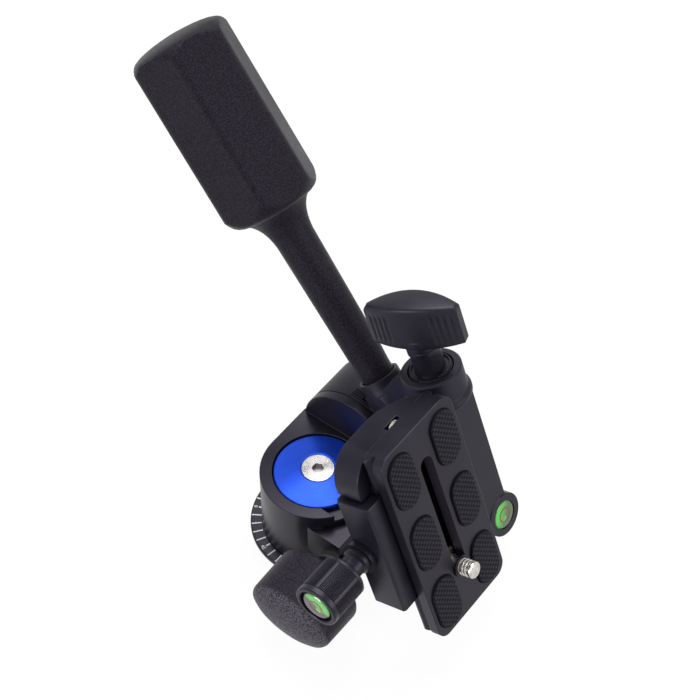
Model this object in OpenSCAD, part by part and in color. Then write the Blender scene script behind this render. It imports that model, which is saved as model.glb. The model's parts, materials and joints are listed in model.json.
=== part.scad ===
// Panoramic tripod head: pan base, tilt drum with handle, flip table and dovetail clamp.
// Millimetres, +Z up along the pan axis, +X along the tilt axis, base underside at Z = 0.

/* [Base] */
// Outer radius of the scale disc
base_r = 26; // [20:0.1:34]
// Thickness of the scale disc rim
rim_t = 2.4; // [1.5:0.1:5]
// Radius of the foot below the rim
foot_r = 20.5; // [16:0.1:26]
// Height of the scale face
scale_z = 9.3; // [6:0.1:14]
// Radius of the spigot that the housing turns on
spigot_r = 13; // [9:0.1:16]
// Outer radius of the threaded bush
bush_r = 8; // [6:0.1:10]
// Length of the threaded bush
bush_h = 10; // [6:0.5:14]
// Tripod thread radius, three-eighths inch
tripod_r = 4.76; // [3:0.01:6]

/* [Pan housing] */
// Housing radius
house_r = 21.5; // [18:0.1:26]
// Deck height
deck_z = 40; // [32:0.1:48]
// Depth of the recess for the cap and its washer
recess_d = 4; // [2.5:0.1:6]
// Blue cap radius
cap_r = 16.5; // [12:0.1:18]
// Blue cap thickness at its rim
cap_t = 2.5; // [1.5:0.1:4]
// Rise of the cap from rim to screw
cap_rise = 2; // [0.5:0.1:4]
// Cap screw head radius
cap_head_r = 6; // [4:0.1:8]
// Cap screw shank radius
cap_screw_r = 3; // [2:0.1:4]

/* [Pan lock] */
// Lug face on the knob side
lug_x = 19.1; // [12:0.1:24]
// Lug face on the blind side
lug_back_x = 10; // [6:0.1:16]
// Lock stud position across the head
lock_y = 22.3; // [20:0.1:30]
// Lock stud height
lock_z = 19.5; // [14:0.1:28]
// Radius of the lug end
lug_r = 8.4; // [5:0.1:10]
// Top of the pan clamp lug
lug_top = 33.7; // [28:0.1:36]
// Half width of the relief in the deck
relief_x = 12.6; // [8:0.1:16]
// Lock stud radius
lock_stud_r = 3; // [2:0.1:4]
// Start of the knob body along the stud
knob_x = 27.5; // [22:0.1:34]
// Length of the knob body
knob_len = 20.5; // [12:0.1:28]
// Radius of the knob foot
knob_r = 17; // [10:0.1:20]
// Half length of the knob end
knob_half = 17.2; // [10:0.1:22]
// Half thickness of the knob end
knob_thick = 12; // [6:0.1:16]
// Turn of the long side below level, degrees
knob_turn = 2; // [-45:1:45]

/* [Tilt] */
// Height of the tilt axis
tilt_z = 38; // [32:0.1:46]
// Forward tilt in the rest pose, degrees
tilt_rest = 70; // [0:0.5:90]
// Tilt drum radius
drum_r = 20.8; // [16:0.1:26]
// Turn of the short rim lines from the table, degrees
line_turn = 157; // [120:0.5:180]
// Length of the short rim lines
line_len = 7.4; // [2:0.1:12]
// Wall face that carries the drum, distance from the pan axis
wall_in = 18.9; // [16:0.1:24]
// Wall thickness
wall_t = 3.5; // [2:0.1:6]
// Drum length
drum_len = 19.3; // [14:0.1:28]
// Tilt axle radius
axle_r = 8; // [5:0.1:10]
// Friction disc outer radius
disc_r = 16; // [12:0.1:19]
// Friction disc thickness
disc_t = 0.9; // [0.5:0.1:2]
// End cap radius
end_cap_r = 14; // [10:0.1:18]
// End cap thickness
end_cap_t = 2.6; // [1.5:0.1:4]

/* [Handle] */
// Handle plane, distance from the pan axis
handle_x = 31.3; // [26:0.1:38]
// Handle seat behind the tilt axis
handle_u = 26.4; // [20:0.1:32]
// Handle seat above the tilt axis
handle_n = 13.7; // [4:0.1:18]
// Droop of the handle below the table plane, degrees
handle_droop = 24.2; // [0:0.1:40]
// Lean of the handle away from the pan axis, degrees
handle_splay = 4.8; // [0:0.1:20]
// Handle boss radius
boss_r = 7.9; // [7:0.1:11]
// Length of the boss above its wider foot
boss_t = 5; // [2:0.1:10]
// Shaft radius below the grip
shaft_r = 7.15; // [5:0.05:9]
// Shaft radius at the boss
shaft_low_r = 6.3; // [5:0.05:9]
// Start of the flare along the handle
flare_t = 60; // [40:0.5:90]
// Start of the grip along the handle
grip_t = 71.5; // [50:0.5:110]
// Handle length
handle_len = 142; // [90:0.5:200]
// Distance of the grip corners from its axis
grip_corner = 14.65; // [10:0.05:18]
// Rounding of the grip edges
grip_round = 4.7; // [2:0.1:6]
// Turn of the grip flats, degrees
grip_turn = 43; // [0:1:60]
// Handle rod radius
rod_r = 4; // [2.5:0.1:5]

/* [Flip joint] */
// Flip axis, distance from the pan axis
flip_x = 31.5; // [26:0.1:38]
// Flip axis above the tilt axis
flip_n = 41.7; // [36:0.1:50]
// Collar radius
collar_r = 11.2; // [8:0.1:14]
// Rear face of the collar behind the tilt axis
collar_u = 38.3; // [32:0.1:46]
// Joint plane between collar and table
joint_u = 25; // [20:0.1:30]
// Flange radius at the joint plane
flange_r = 12.3; // [10:0.1:14]
// Flip axle radius
flip_axle_r = 4; // [2.5:0.1:5]
// Arm thickness
arm_t = 13; // [8:0.1:18]

/* [Wing knob] */
// Hub radius
wing_hub_r = 6.1; // [4:0.1:8]
// Base of the wing behind the tilt axis
wing_u = 51; // [46:0.1:58]
// Wing height along its axis
wing_h = 18; // [10:0.1:22]
// Wing half length
wing_half = 17.3; // [12:0.1:24]
// Wing thickness at the middle
wing_mid = 12; // [8:0.1:16]
// Wing thickness at the ends
wing_tip = 3.6; // [2:0.1:6]
// Turn of the wing from the table normal, degrees
wing_turn = 18; // [-90:0.5:90]
// Height of the crown on the end face
wing_crown = 2.6; // [0.5:0.1:5]

/* [Clamp table] */
// Clamp centre line beside the pan axis
clamp_x = -1; // [-6:0.1:6]
// Underside of the table above the tilt axis
table_n = 39; // [34:0.1:44]
// Channel floor above the tilt axis
floor_n = 50; // [46:0.1:54]
// Top of both jaws
jaw_top_n = 53.6; // [50:0.1:58]
// Half length of both jaws
jaw_half = 24.8; // [18:0.1:34]
// Outer face of the moving jaw
jaw_out_x = 26.2; // [23:0.1:32]
// Flat top of the hinge barrel
barrel_top_n = 49.5; // [46:0.1:52]
// Front end of the hinge barrel
barrel_front_u = 30; // [20:0.1:40]
// Level lug centre ahead of the tilt axis
lug_u = 36.4; // [28:0.1:44]
// Level lug centre, distance from the pan axis
lug_c_x = 36.6; // [30:0.1:42]
// Level lug radius
level_r = 8.6; // [6:0.1:12]
// Level vial radius
vial_r = 5.6; // [3:0.1:7]
// Level vial height
vial_h = 4.4; // [2:0.1:6]
// Rear wall of the table behind the tilt axis
ear_u = 40.4; // [34:0.1:46]
// Outer end of the rear wall
ear_x = 24; // [18:0.1:30]
// Corner radius of the rear wall
ear_r = 12; // [4:0.1:18]
// Top of the rear wall
ear_n = 49.7; // [44:0.1:49.8]
// Radius of the rounded underside of the rear wall
ear_bend = 21.5; // [10:0.1:30]
// Start of the rounded underside beside the pan axis
ear_bend_x = 1.3; // [-10:0.1:10]

/* [Clamp knob] */
// Screw height above the tilt axis
clamp_n = 42.6; // [40:0.1:48]
// Inner end of the knob
clamp_in_x = 36.1; // [30:0.1:42]
// Outer end of the knob
clamp_out_x = 52.9; // [44:0.1:62]
// Knob radius
clamp_r = 8.5; // [6:0.1:12]
// Screw radius
clamp_screw_r = 3; // [2:0.1:4]
// Guide pin radius
guide_r = 2; // [1.2:0.1:3]
// Guide pins from the screw
guide_u = 16; // [10:0.1:20]

/* [Quick release plate] */
// Plate width
plate_w = 40; // [36:0.1:50]
// Plate length
plate_len = 86.8; // [50:0.1:120]
// Plate centre ahead of the tilt axis
plate_u = 2.1; // [-15:0.1:20]
// Plate thickness
plate_t = 8.4; // [7:0.1:12]
// Plate corner radius
plate_r = 5; // [1:0.1:6]
// Dovetail width at its foot
dove_w = 38; // [34:0.1:40]
// Pad length across the plate
pad_len = 12.6; // [8:0.1:18]
// Pad length along the plate
pad_run = 22.6; // [14:0.1:30]
// Pad pitch along the plate
pad_pitch = 29.6; // [20:0.1:36]
// Pad rows from the centre line
pad_row = 11.8; // [8:0.1:14]
// Pad height above the plate
pad_proud = 1; // [0.2:0.1:1.5]
// Camera screw radius, quarter inch
cam_r = 3.175; // [2:0.005:5]
// Neck of the camera screw below its thread
neck_r = 3; // [1.8:0.05:4.8]
// Camera screw ahead of the tilt axis
cam_u = 25.3; // [0:0.1:36]
// Camera screw height above the plate
cam_proud = 6.4; // [3:0.1:8]
// Rear end of the slot behind the tilt axis
slot_u = 24.2; // [10:0.1:34]
// Stop screws from each end of the plate
stop_in = 3.4; // [3:0.1:8]
// Stop screw head radius
stop_r = 3; // [1.8:0.1:3.4]

/* [Fits] */
// Radial running fit of shafts
fit = 0.05; // [0.02:0.01:0.1]
// Gap between faces that pass each other
gap = 0.3; // [0.2:0.05:0.6]
// Gap between faces that rub
rub = 0.1; // [0.05:0.05:0.2]

/* [Hidden] */
$fn = 72;
spigot_top = deck_z - recess_d + 1;
knob_arc = (knob_half * knob_half + knob_thick * knob_thick) / (2 * knob_thick) + 2;
cap_top = spigot_top + cap_t + cap_rise;
grip_flat = grip_corner * cos(30) + grip_round - 0.04;
grip_lim = grip_corner + grip_round + 0.5;
drum_in = wall_in + wall_t + gap;
drum_out = drum_in + drum_len;
plate_top = floor_n + rub + plate_t;
plate_low = floor_n + rub;
dove_in = dove_w / 2 - 2.8;
jaw_x = clamp_x + dove_w / 2 + gap;
fixed_x = clamp_x - dove_w / 2 - gap;
table_x = jaw_x - gap;
wing_d = (wing_half * wing_half + wing_tip * wing_tip / 4 - wing_mid * wing_mid / 4) / (wing_mid - wing_tip);
wing_arc = wing_d + wing_mid / 2;
crown_r = (wing_half * wing_half + wing_crown * wing_crown) / (2 * wing_crown);

// Tilted frame: X along the tilt axis, Y forward along the table, Z along its normal
module in_tilt() {
  translate([0, 0, tilt_z]) rotate([-tilt_rest, 0, 0]) children();
}

// Flip frame: local Z runs to the rear along the flip axis
module in_flip() {
  in_tilt() translate([-flip_x, 0, flip_n]) rotate([90, 0, 0]) children();
}

// Handle frame: local Z runs along the handle from its seat
module in_handle() {
  in_tilt() translate([-handle_x, -handle_u, handle_n]) rotate([90 + handle_droop, 0, 0])
    rotate([0, -handle_splay, 0]) children();
}

// Solid bar along +X from x0 to x1
module bar_x(r, x0, x1, y, z) {
  translate([x0, y, z]) rotate([0, 90, 0]) cylinder(r = r, h = x1 - x0);
}

// Ring about local Z
module ring(r_in, r_out, z0, z1) {
  translate([0, 0, z0]) difference() {
    cylinder(r = r_out, h = z1 - z0);
    translate([0, 0, -1]) cylinder(r = r_in, h = z1 - z0 + 2);
  }
}

module base_disc() {
  color("#1c1d20") rotate_extrude($fn = 120) polygon([
    [bush_r + fit, 0], [foot_r - 0.8, 0], [foot_r, 0.8], [foot_r, scale_z - rim_t - 1.2],
    [base_r - 0.8, scale_z - rim_t], [base_r, scale_z - rim_t + 0.6], [base_r, scale_z - 0.5],
    [base_r - 0.5, scale_z], [bush_r + fit, scale_z]
  ]);
}

module pan_spigot() {
  color("#26272a") rotate_extrude() polygon([
    [bush_r + fit, scale_z], [spigot_r, scale_z], [spigot_r, spigot_top],
    [cap_screw_r + fit, spigot_top], [cap_screw_r + fit, bush_h], [bush_r + fit, bush_h]
  ]);
}

module thread_bush() {
  color("#b8b9ba") rotate_extrude() polygon([
    [tripod_r, 0], [bush_r, 0], [bush_r, bush_h], [tripod_r, bush_h]
  ]);
}

module slip_ring() {
  color("#d8d6cc") ring(spigot_r + 1, house_r - 1.5, scale_z, scale_z + 0.6);
}

module blue_cap() {
  color("#2b53d6") rotate_extrude($fn = 120) polygon([
    [cap_screw_r + fit, spigot_top], [cap_r, spigot_top], [cap_r, spigot_top + cap_t - 0.4],
    [cap_r - 0.4, spigot_top + cap_t], [cap_head_r + 0.6, cap_top], [cap_head_r + fit, cap_top - 0.2],
    [cap_head_r + fit, cap_top - 0.9], [cap_screw_r + fit, cap_top - 3.2]
  ]);
}

module cap_screw() {
  color("#c9cacc") difference() {
    rotate_extrude() polygon([
      [0, bush_h + 4], [cap_screw_r, bush_h + 4], [cap_screw_r, cap_top - 3.2],
      [cap_head_r, cap_top - 0.9 + fit], [cap_head_r, cap_top - 0.2], [0, cap_top - 0.2]
    ]);
    translate([0, 0, cap_top - 2.6]) cylinder(r = 2.3, h = 4, $fn = 6);
  }
}

module cap_washer() {
  color("#d8d6cc") ring(spigot_r + gap, cap_r - 0.3, spigot_top - 1 + rub, spigot_top - fit);
}

module pan_housing() {
  color("#1c1d20") difference() {
    union() {
      // Round body, flat where the tilt wall faces the friction disc
      intersection() {
        translate([0, 0, scale_z + 0.6 + rub])
          cylinder(r = house_r, h = deck_z - scale_z - 0.6 - rub, $fn = 120);
        translate([-wall_in - wall_t, -2 * house_r, 0])
          cube([wall_in + wall_t + 2 * house_r, 4 * house_r, deck_z + 1]);
      }
      translate([-wall_in - 1, -house_r, scale_z + 0.6 + rub])
        cube([wall_in + 1, 2 * house_r, deck_z - scale_z - 0.6 - rub]);
      bar_x(drum_r, -wall_in - wall_t, -wall_in, 0, tilt_z, $fn = 120);
      translate([-lug_back_x, 6, lock_z]) cube([lug_back_x + lug_x, lock_y - 3.7, lug_top - lock_z]);
      translate([-lug_back_x, 6, lock_z - lug_r]) cube([lug_back_x + lug_x, lock_y - 6, 2 * lug_r]);
      bar_x(lug_r, -lug_back_x, lug_x, lock_y, lock_z);
    }
    cylinder(r = spigot_r + fit, h = deck_z + 1);
    translate([0, 0, deck_z - recess_d]) cylinder(r = cap_r + gap, h = recess_d + 1, $fn = 120);
    // Relief in the deck under the clamp
    translate([-relief_x, 11.8, deck_z - 3]) cube([2 * relief_x, house_r, 5]);
    // Split and flexure slot of the pan clamp
    translate([-1, 0, 0]) cube([2, lock_y + lug_r + 1, lug_top + 0.1]);
    translate([-lug_back_x - 2, 14.5, lug_top]) cube([40, 40, 0.7]);
    bar_x(lock_stud_r + fit, -lug_back_x - 1, lug_x + 1, lock_y, lock_z);
    bar_x(axle_r + fit, -wall_in - wall_t - 1, -wall_in - 0.6, 0, tilt_z);
  }
}

module tilt_axle() {
  color("#b8b9ba") difference() {
    bar_x(axle_r, -drum_out - gap, -wall_in - 0.6, 0, tilt_z);
    bar_x(2.5 + fit, -drum_out - gap - 1, -drum_out + 9, 0, tilt_z);
  }
}

module friction_disc() {
  color("#8a7a55") translate([-wall_in - wall_t, 0, tilt_z]) rotate([0, -90, 0])
    ring(axle_r + fit, disc_r, 0, disc_t);
}

module axle_cap() {
  color("#1c1d20") translate([-drum_out - gap, 0, tilt_z]) rotate([0, -90, 0]) rotate_extrude() polygon([
    [2.5 + fit, 0], [end_cap_r, 0], [end_cap_r, end_cap_t - 0.8], [end_cap_r - 0.8, end_cap_t],
    [5 + fit, end_cap_t], [5 + fit, end_cap_t - 0.3], [2.5 + fit, 0.4]
  ]);
}

module axle_screw() {
  color("#c9cacc") translate([-drum_out - gap, 0, tilt_z]) rotate([0, -90, 0]) difference() {
    rotate_extrude() polygon([
      [0, -8], [2.5, -8], [2.5, 0.4], [5, end_cap_t - 0.3 + fit], [5, end_cap_t], [0, end_cap_t]
    ]);
    translate([0, 0, end_cap_t - 1.8]) cylinder(r = 1.9, h = 3, $fn = 6);
  }
}

module pan_knob() {
  color("#202124") translate([0, lock_y, lock_z]) rotate([-knob_turn, 0, 0]) difference() {
    union() {
      bar_x(7, lug_x + 2, knob_x + 1, 0, 0);
      hull() {
        translate([knob_x, 0, 0]) rotate([0, 90, 0]) rotate_extrude($fn = 64) polygon([
          [0, 0], [knob_r - 2, 0], [knob_r - 0.6, 0.8], [knob_r, 2.4], [knob_r - 0.2, 5], [0, 5]
        ]);
        // Lens shaped end, its two arcs rounded at the tips
        for (x = [[knob_len - 3.4, 0], [knob_len - 1.2, 1], [knob_len, 3.4]])
          translate([knob_x + x[0], 0, 0]) rotate([90, 0, 90]) linear_extrude(0.2) intersection() {
            translate([0, knob_arc - knob_thick]) circle(r = knob_arc - x[1], $fn = 120);
            translate([0, knob_thick - knob_arc]) circle(r = knob_arc - x[1], $fn = 120);
            circle(r = knob_half - x[1], $fn = 120);
          }
        translate([knob_x + knob_len + 0.9, 0, 0]) rotate([0, 90, 0]) cylinder(r = 3.5, h = 0.2, $fn = 32);
      }
    }
    bar_x(lock_stud_r + fit, lug_x, knob_x + 10, 0, 0);
  }
}

module pan_stud() {
  color("#b8b9ba") bar_x(lock_stud_r, -lug_back_x + 2, knob_x + 9.8, lock_y, lock_z);
}

module pan_washer() {
  color("#c9cacc") translate([lug_x + rub, lock_y, lock_z]) rotate([0, 90, 0])
    ring(lock_stud_r + fit, 6.6, 0, 1.6);
}

module tilt_drum() {
  color("#1c1d20") difference() {
    union() {
      in_tilt() translate([-drum_in, 0, 0]) rotate([0, -90, 0]) rotate_extrude($fn = 120) polygon([
        [0, 0], [drum_r, 0], [drum_r, drum_len - 1], [drum_r - 1, drum_len], [0, drum_len]
      ]);
      // Handle boss on its foot, kept clear of the housing wall
      intersection() {
        in_handle() rotate_extrude() polygon([
          [0, -22], [boss_r + 0.8, -22], [boss_r + 0.8, -boss_t - 0.8],
          [boss_r, -boss_t], [boss_r, 0], [0, 0]
        ]);
        translate([-drum_in - 60, -100, 0]) cube([59.4, 200, 150]);
      }
      // Arm up to the flip collar
      in_tilt() translate([-flip_x - arm_t / 2, 0, 0]) rotate([90, 0, 90]) linear_extrude(arm_t) polygon([
        [-17, 8], [-24, 18], [-36.5, flip_n - collar_r + 2], [-36.5, flip_n], [-joint_u - 0.4, flip_n],
        [-joint_u - 0.4, 29.2], [10, 17], [10, 6]
      ]);
      in_flip() rotate_extrude() polygon([
        [0, joint_u], [flange_r - 0.6, joint_u], [flange_r, joint_u + 0.6], [flange_r, joint_u + 2.2],
        [collar_r, joint_u + 3.6], [collar_r, collar_u - 0.7], [collar_r - 0.7, collar_u], [0, collar_u]
      ]);
    }
    in_tilt() bar_x(axle_r + fit, -drum_out - 1, -drum_in + 1, 0, 0);
    in_tilt() bar_x(disc_r + gap, -drum_in - disc_t + gap - rub, -drum_in + 1, 0, 0);
    in_handle() translate([0, 0, -18]) cylinder(r = rod_r + fit, h = 20);
    in_handle() translate([0, 0, -1.5]) cylinder(r = shaft_low_r + gap, h = 3);
    in_flip() translate([0, 0, joint_u - 1]) cylinder(r = flip_axle_r + fit, h = 30);
    in_flip() translate([0, 0, collar_u - 3]) cylinder(r = 8.4, h = 5);
    // Short lines cut into the rim
    in_tilt() intersection() {
      translate([-drum_in, 0, 0]) rotate([0, -90, 0]) for (i = [0:3])
        translate([0, 0, 0.6 + 1.1 * i]) ring(drum_r - 0.5, drum_r + 2, 0, 0.5);
      rotate([line_turn, 0, 0]) translate([-drum_in - 8, drum_r - 3, -line_len / 2]) cube([8, 6, line_len]);
    }
  }
}

// Six sided grip outline with rounded corners
module grip_outline() {
  rotate(grip_turn) union() {
    for (i = [0:5]) rotate(60 * i) {
      translate([grip_corner, 0]) circle(r = grip_round, $fn = 48);
      rotate(30) translate([0, -grip_corner / 2]) square([grip_flat, grip_corner]);
    }
  }
}

module handle_grip() {
  color("#1e1f22") in_handle() difference() {
    union() {
      rotate_extrude() polygon([
        [0, -1.2], [shaft_low_r - 1, -1.2], [shaft_low_r, 0.4], [shaft_low_r, 4],
        [shaft_r, flare_t], [shaft_r + 0.6, flare_t + 4],
        [shaft_r + 1.9, flare_t + 7.5], [shaft_r + 3.8, flare_t + 10], [shaft_r + 6.6, flare_t + 12.4],
        [shaft_r + 6.6, flare_t + 16], [0, flare_t + 16]
      ]);
      intersection() {
        translate([0, 0, grip_t]) linear_extrude(handle_len + 3 - grip_t) grip_outline();
        rotate_extrude() polygon([
          [0, grip_t], [13.4, grip_t], [grip_flat - 1.2, grip_t + 0.8], [grip_flat + 0.7, grip_t + 2.3],
          [grip_lim, grip_t + 5], [grip_lim, handle_len - 7], [grip_flat + 0.9, handle_len - 4.3],
          [grip_flat - 0.5, handle_len - 2.8], [grip_flat - 2.2, handle_len - 2], [12, handle_len - 1.1],
          [6, handle_len - 0.3], [0, handle_len]
        ]);
      }
    }
    translate([0, 0, -2]) cylinder(r = rod_r + fit, h = 28);
  }
}

module handle_rod() {
  color("#b8b9ba") in_handle() translate([0, 0, -17]) cylinder(r = rod_r, h = 42);
}

// Outline of the rear wall with its rounded outer corner
module ear_outline() {
  difference() {
    translate([-flip_x + flange_r + 0.6, -ear_u])
      square([ear_x + flip_x - flange_r - 0.6, ear_u - jaw_half - 1.2]);
    difference() {
      translate([ear_x - ear_r, -ear_u - 1]) square([ear_r + 1, ear_r + 1]);
      translate([ear_x - ear_r, -ear_u + ear_r]) circle(r = ear_r);
    }
  }
}

module clamp_table() {
  color("#1c1d20") difference() {
    union() {
      // Channel floor and web below it
      in_tilt() translate([fixed_x - 1, -jaw_half, table_n])
        cube([table_x - fixed_x + 1, 2 * jaw_half, floor_n - table_n]);
      in_tilt() translate([-flip_x + flange_r + 0.6, -jaw_half - 3, table_n])
        cube([table_x + flip_x - flange_r - 0.6, 5, floor_n - table_n]);
      // Rear wall
      in_tilt() intersection() {
        translate([0, 0, table_n]) linear_extrude(ear_n - table_n) ear_outline();
        // Underside rounded up towards the collar
        translate([0, -jaw_half, 0]) rotate([90, 0, 0]) linear_extrude(ear_u) union() {
          translate([ear_bend_x, table_n + ear_bend]) circle(r = ear_bend, $fn = 120);
          translate([ear_bend_x, table_n]) square([ear_bend * 2, ear_bend]);
        }
      }
      // Fixed jaw
      in_tilt() translate([0, jaw_half, 0]) rotate([90, 0, 0]) linear_extrude(2 * jaw_half) polygon([
        [fixed_x - 3.2, table_n], [fixed_x + 2, table_n], [fixed_x + 2, floor_n], [fixed_x, floor_n],
        [fixed_x, floor_n + 1.2], [fixed_x + 2.4, jaw_top_n], [fixed_x - 2.4, jaw_top_n],
        [fixed_x - 3.2, jaw_top_n - 0.8]
      ]);
      // Hinge barrel with its flat top
      in_flip() translate([0, 0, -barrel_front_u]) intersection() {
        union() {
          cylinder(r = collar_r, h = barrel_front_u + joint_u - rub);
          translate([0, -2, 0])
            cube([flip_x + fixed_x, barrel_top_n - flip_n + 2, barrel_front_u + joint_u - rub]);
          translate([-collar_r + 2.4, 0, 0])
            cube([collar_r, barrel_top_n - flip_n, barrel_front_u + joint_u - rub]);
        }
        translate([-20, -20, 0]) cube([40, 20 + barrel_top_n - flip_n, barrel_front_u + joint_u]);
      }
      // Level lug
      in_tilt() translate([-lug_c_x, lug_u, barrel_top_n - 8]) cylinder(r = level_r, h = 8.4);
      in_tilt() translate([-lug_c_x, barrel_front_u - 6, barrel_top_n - 8])
        cube([lug_c_x + fixed_x, lug_u - barrel_front_u + 10, 8]);
    }
    // Channel in the rear wall for the stop screw of the plate
    in_tilt() translate([clamp_x - stop_r - 0.5, -ear_u - 1, plate_low - 2.6])
      cube([2 * stop_r + 1, ear_u - jaw_half - 2, 4]);
    in_flip() translate([0, 0, -8]) cylinder(r = flip_axle_r + fit, h = 60);
    in_tilt() bar_x(clamp_screw_r + fit, clamp_x - 12, jaw_out_x, 0, clamp_n);
    in_tilt() for (s = [-1, 1]) bar_x(guide_r + fit, clamp_x + 2, jaw_out_x, s * guide_u, clamp_n);
    in_tilt() translate([-lug_c_x, lug_u, barrel_top_n + 0.4 - vial_h + 0.2])
      cylinder(r = vial_r + fit, h = 10);
  }
}

module flip_axle() {
  color("#b8b9ba") in_flip() translate([0, 0, -7.5]) cylinder(r = flip_axle_r, h = 7.5 + wing_u + 6);
}

module table_vial() {
  color("#7fc24a") in_tilt() translate([-lug_c_x, lug_u, barrel_top_n + 0.4 - vial_h + 0.3])
    cylinder(r = vial_r, h = vial_h - 0.3);
}

module wing_knob() {
  color("#202124") in_flip() difference() {
    union() {
      rotate_extrude() polygon([
        [0, collar_u - 1.8], [wing_hub_r - 0.5, collar_u - 1.8], [wing_hub_r - 0.5, wing_u - 4.6],
        [wing_hub_r, wing_u - 4], [wing_hub_r, wing_u + 3], [0, wing_u + 3]
      ]);
      rotate([0, 0, wing_turn]) difference() {
        intersection() {
          translate([-wing_d, 0, wing_u]) cylinder(r = wing_arc, h = wing_h + 4, $fn = 160);
          translate([wing_d, 0, wing_u]) cylinder(r = wing_arc, h = wing_h + 4, $fn = 160);
          translate([-wing_mid, -wing_half, wing_u]) cube([2 * wing_mid, 2 * wing_half, wing_h + 4]);
          translate([-wing_mid, 0, wing_u + wing_h - crown_r]) rotate([0, 90, 0])
            cylinder(r = crown_r, h = 2 * wing_mid, $fn = 160);
        }
        // Finger flutes on both sides near the ends
        for (e = [-1, 1], s = [-1, 1], i = [0:3]) {
          y = e * (wing_half - 2.2 - 2.6 * i);
          x = s * (sqrt(wing_arc * wing_arc - y * y) - wing_d + 0.45);
          translate([x, y, wing_u - 1]) cylinder(r = 1, h = wing_h + 3, $fn = 24);
        }
      }
    }
    translate([0, 0, collar_u - 3]) cylinder(r = flip_axle_r + fit, h = wing_u + 6.5 - collar_u + 3);
  }
}

module wing_washer() {
  color("#c9cacc") in_flip() ring(flip_axle_r + fit, 7.8, collar_u - 3 + rub, collar_u - 1.8);
}

module clamp_jaw() {
  color("#1c1d20") in_tilt() difference() {
    translate([0, jaw_half, 0]) rotate([90, 0, 0]) linear_extrude(2 * jaw_half) polygon([
      [jaw_x, table_n], [jaw_x, floor_n + 1.2], [jaw_x - 2.4, jaw_top_n], [jaw_out_x - 0.8, jaw_top_n],
      [jaw_out_x, jaw_top_n - 0.8], [jaw_out_x, table_n + 1], [jaw_out_x - 1, table_n]
    ]);
    bar_x(clamp_screw_r + gap, jaw_x - 1, jaw_out_x + 1, 0, clamp_n);
    for (s = [-1, 1]) bar_x(guide_r + fit, jaw_x - 1, jaw_out_x - 1.5, s * guide_u, clamp_n);
  }
}

module guide_pin_rear() {
  color("#b8b9ba") in_tilt() bar_x(guide_r, clamp_x + 6, jaw_out_x - 1.6, -guide_u, clamp_n);
}

module guide_pin_front() {
  color("#b8b9ba") in_tilt() bar_x(guide_r, clamp_x + 6, jaw_out_x - 1.6, guide_u, clamp_n);
}

module clamp_knob() {
  color("#202124") in_tilt() translate([0, 0, clamp_n]) difference() {
    translate([jaw_out_x + 2.2, 0, 0]) rotate([0, 90, 0]) rotate_extrude() polygon([
      [clamp_screw_r + fit, 0], [5.2, 0], [5.2, 1.8], [4.4, 2.6], [4.4, clamp_in_x - jaw_out_x - 2.8],
      [5.2, clamp_in_x - jaw_out_x - 2.2], [clamp_r - 0.6, clamp_in_x - jaw_out_x - 2.2],
      [clamp_r, clamp_in_x - jaw_out_x - 1.6], [clamp_r, clamp_out_x - jaw_out_x - 3],
      [clamp_r - 0.8, clamp_out_x - jaw_out_x - 2.2], [0, clamp_out_x - jaw_out_x - 2.2],
      [0, clamp_in_x - jaw_out_x + 8.2], [clamp_screw_r + fit, clamp_in_x - jaw_out_x + 8.2]
    ]);
    bar_x(vial_r + fit, clamp_out_x - 3, clamp_out_x + 1, 0, 0);
  }
}

module clamp_screw() {
  color("#b8b9ba") in_tilt() bar_x(clamp_screw_r, clamp_x - 5, clamp_in_x + 10.2, 0, clamp_n);
}

module clamp_washer() {
  color("#c9cacc") in_tilt() translate([jaw_out_x + rub, 0, clamp_n]) rotate([0, 90, 0])
    ring(clamp_screw_r + fit, 6.4, 0, 2.2 - rub);
}

module knob_vial() {
  color("#7fc24a") in_tilt() bar_x(vial_r, clamp_out_x - 2.9, clamp_out_x - 0.1, 0, clamp_n);
}

// Rounded rectangle about the origin
module plate_outline() {
  w = plate_w / 2;
  l = plate_len / 2;
  union() {
    translate([-w, -l + plate_r]) square([plate_w, plate_len - 2 * plate_r]);
    translate([-w + plate_r, -l]) square([plate_w - 2 * plate_r, plate_len]);
    for (sx = [-1, 1], sy = [-1, 1])
      translate([sx * (w - plate_r), sy * (l - plate_r)]) circle(r = plate_r, $fn = 48);
  }
}

// Oval of a pad about its own centre
module pad_outline(grow) {
  r = pad_len / 2 + grow;
  union() {
    translate([-r, -pad_run / 2 + pad_len / 2]) square([2 * r, pad_run - pad_len]);
    for (s = [-1, 1]) translate([0, s * (pad_run - pad_len) / 2]) circle(r = r, $fn = 64);
  }
}

// Slot along the plate with round ends
module slot_outline(r, back, front) {
  union() {
    translate([-r, back]) square([2 * r, front - back]);
    translate([0, back]) circle(r = r, $fn = 48);
    translate([0, front]) circle(r = r, $fn = 48);
  }
}

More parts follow.
